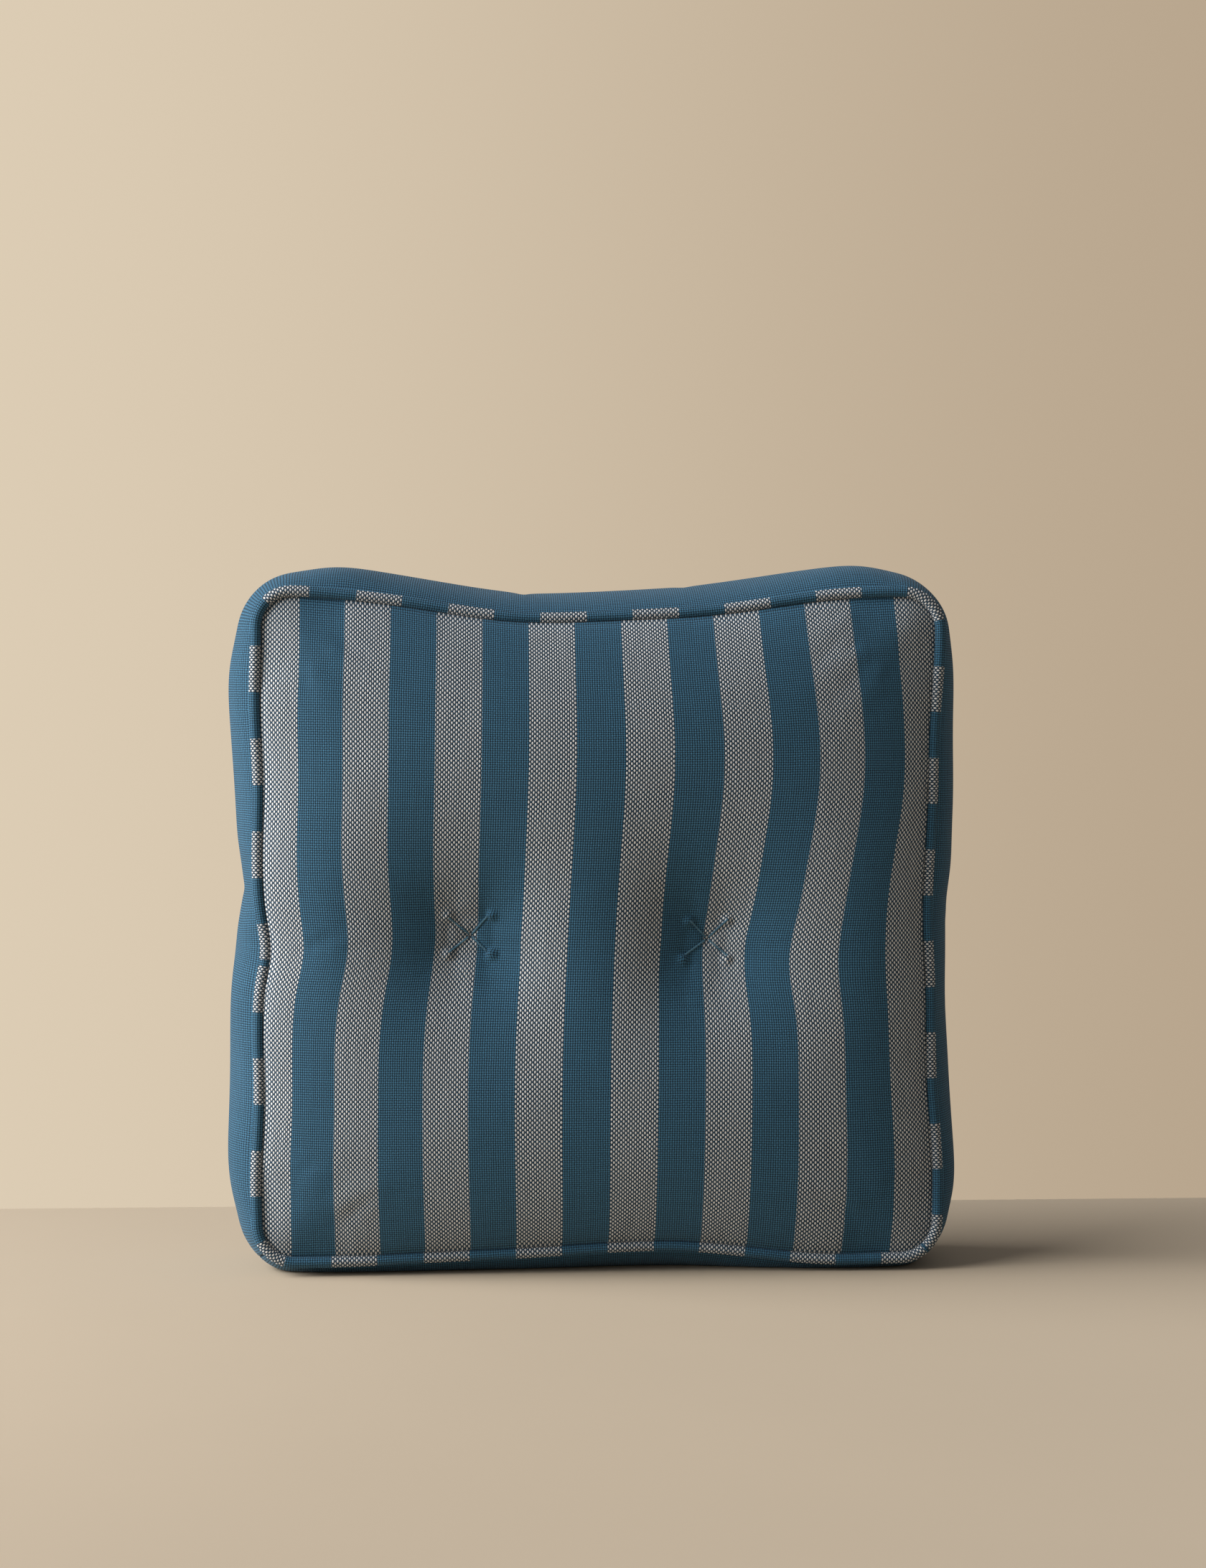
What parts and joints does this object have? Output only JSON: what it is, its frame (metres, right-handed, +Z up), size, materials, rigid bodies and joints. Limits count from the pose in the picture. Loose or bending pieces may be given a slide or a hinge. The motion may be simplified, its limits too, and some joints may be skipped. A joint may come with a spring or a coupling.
{
  "type": "floor cushion",
  "caption": "Square boxed floor cushion with corded seams, through-tufts with four-legged stitches, a removable striped cover with a zip, and a stuffed insert.",
  "frame": {"origin": "on the floor, under the middle of the cushion as it stands on its zipped side", "axes": "+Z up, +X across the width, and the front face towards -Y"},
  "size_m": [0.6486, 0.2062, 0.6278],
  "materials": {
    "striped_cloth": "plain weave in ivory and blue stripes, matt",
    "blue_cloth": "plain weave in one blue, matt",
    "cotton_cord": "twisted cotton piping cord",
    "casing_cloth": "fine white cotton",
    "fibre_fill": "polyester fibre",
    "tuft_twine": "doubled blue twine",
    "zip_tape": "woven zip tape",
    "zip_teeth": "moulded nylon",
    "zip_metal": "satin nickel"
  },
  "bodies": {
    "cushion": {"front_panel": "striped_cloth", "back_panel": "striped_cloth", "boxing_strip": "blue_cloth", "zip_strip_front": "blue_cloth", "zip_strip_back": "blue_cloth", "front_welt_cover": "striped_cloth", "front_welt_cord": "cotton_cord", "back_welt_cover": "striped_cloth", "back_welt_cord": "cotton_cord", "insert_casing_front": "casing_cloth", "insert_casing_back": "casing_cloth", "fill": "fibre_fill", "tuft_left_front_stitch": "tuft_twine", "tuft_left_back_stitch": "tuft_twine", "tuft_left_tie": "tuft_twine", "tuft_right_front_stitch": "tuft_twine", "tuft_right_back_stitch": "tuft_twine", "tuft_right_tie": "tuft_twine", "zip_tape_front": "zip_tape", "zip_tape_back": "zip_tape", "zip_teeth_front": "zip_teeth", "zip_teeth_back": "zip_teeth", "zip_open_end_stop": "zip_metal", "zip_closed_end_stops": "zip_metal"},
    "zip_slider": {"zip_slider": "zip_metal"},
    "zip_pull": {"zip_pull": "zip_metal"}
  },
  "joints": [
    {"name": "zip_slide", "type": "slide", "parent": "cushion", "child": "zip_slider", "axis": [-1, 0, 0], "range_m": [0, 0.472]},
    {"name": "zip_pull_swing", "type": "hinge", "parent": "zip_slider", "child": "zip_pull", "pos_m": [0.235, 0, 0.0021], "axis": [0, -1, 0], "range_deg": [0, 150]}
  ]
}
